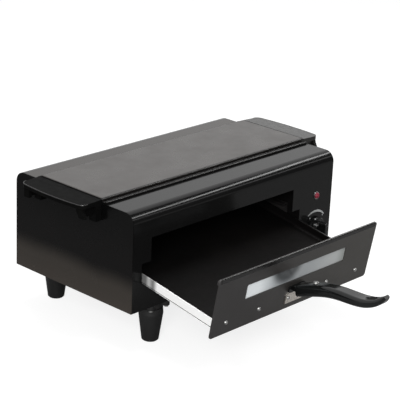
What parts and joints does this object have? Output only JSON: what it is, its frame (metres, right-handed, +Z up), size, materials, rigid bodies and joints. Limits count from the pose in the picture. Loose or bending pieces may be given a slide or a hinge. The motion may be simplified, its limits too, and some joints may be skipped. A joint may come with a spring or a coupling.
{
  "type": "electric tandoor",
  "caption": "Low black sheet-metal oven on tapered feet, with a drooping drawer tray behind a windowed door, a lift-off lid with side handles, a knob and a lamp.",
  "frame": {"origin": "on the table, under the middle of the box that holds the whole oven with its drawer open", "axes": "+Z up, +X to the right of someone facing the drawer, +Y towards the back of the case"},
  "size_m": [0.452, 0.4764, 0.19],
  "materials": {
    "black_enamel": "satin black baked enamel, slightly warm",
    "base_enamel": "satin black baked enamel",
    "door_enamel": "satin charcoal baked enamel",
    "black_moulding": "fine-grained black phenolic moulding",
    "knob_black": "gloss black moulding",
    "rail_steel": "bright plated strip",
    "tray_enamel": "black non-stick enamel",
    "liner_enamel": "black heat-proof enamel",
    "guide_steel": "plain steel strip, dulled by heat",
    "bracket_steel": "bright plated strip",
    "screw_steel": "bright plated screws and pins",
    "shoe_black": "black bent steel",
    "element_sheath": "dark oxidised tube",
    "ceramic": "off-white glazed ceramic",
    "grill_chrome": "bright plated wire",
    "control_plastic": "black moulding",
    "lamp_rim": "bright plated ring",
    "lamp_red": "translucent pink-red lens",
    "window": "clear heat-proof glass with a greyish cast"
  },
  "bodies": {
    "case": {"case_wrap": "black_enamel", "left_side_plate": "black_enamel", "right_side_plate": "black_enamel", "base_plate": "base_enamel", "front_left_foot": "black_moulding", "front_right_foot": "black_moulding", "rear_left_foot": "black_moulding", "rear_right_foot": "black_moulding", "foot_screws": "screw_steel", "rear_screws": "screw_steel", "inner_liner": "liner_enamel", "left_guide": "guide_steel", "right_guide": "guide_steel", "shoe_pins": "screw_steel", "lower_element": "element_sheath", "upper_element": "element_sheath", "lower_supports": "guide_steel", "upper_supports": "guide_steel", "element_bushes": "ceramic", "wire_grill": "grill_chrome", "thermostat": "control_plastic", "lamp_bezel": "lamp_rim", "lamp_lens": "lamp_red", "lamp_body": "control_plastic", "terminal_block": "control_plastic", "inlet_housing": "control_plastic", "inlet_pins": "screw_steel"},
    "shoes": {"left_rail_shoe": "shoe_black", "right_rail_shoe": "shoe_black"},
    "drawer": {"tray_frame": "rail_steel", "baking_tray": "tray_enamel", "door_plate": "door_enamel", "window_glass": "window", "glass_retainer": "guide_steel", "door_screws": "screw_steel", "handle_bracket": "bracket_steel", "bracket_screws": "screw_steel", "door_handle": "black_moulding", "handle_screw": "screw_steel"},
    "lid": {"lid_plate": "black_enamel", "left_lid_handle": "black_moulding", "right_lid_handle": "black_moulding", "lid_handle_screws": "screw_steel"},
    "knob": {"control_knob": "knob_black", "thermostat_shaft": "screw_steel"}
  },
  "joints": [
    {"name": "drawer_tilt", "type": "hinge", "parent": "case", "child": "shoes", "pos_m": [-0.025, 0.02968, 0.086], "axis": [-1, 0, 0], "range_deg": [0, 9.65]},
    {"name": "drawer_slide", "type": "slide", "parent": "shoes", "child": "drawer", "axis": [0, 0.9859, 0.1676], "range_m": [0, 0.114]},
    {"name": "lid_lift", "type": "slide", "parent": "case", "child": "lid", "axis": [0, 0, 1], "range_m": [0, 0.08]},
    {"name": "knob_turn", "type": "hinge", "parent": "case", "child": "knob", "pos_m": [0.157, 0.02068, 0.079], "axis": [0, 1, 0], "range_deg": [0, 270]}
  ],
  "couplings": [
    {"joint": "drawer_tilt", "follows": "drawer_slide", "rad_per_m": 1.4774}
  ]
}
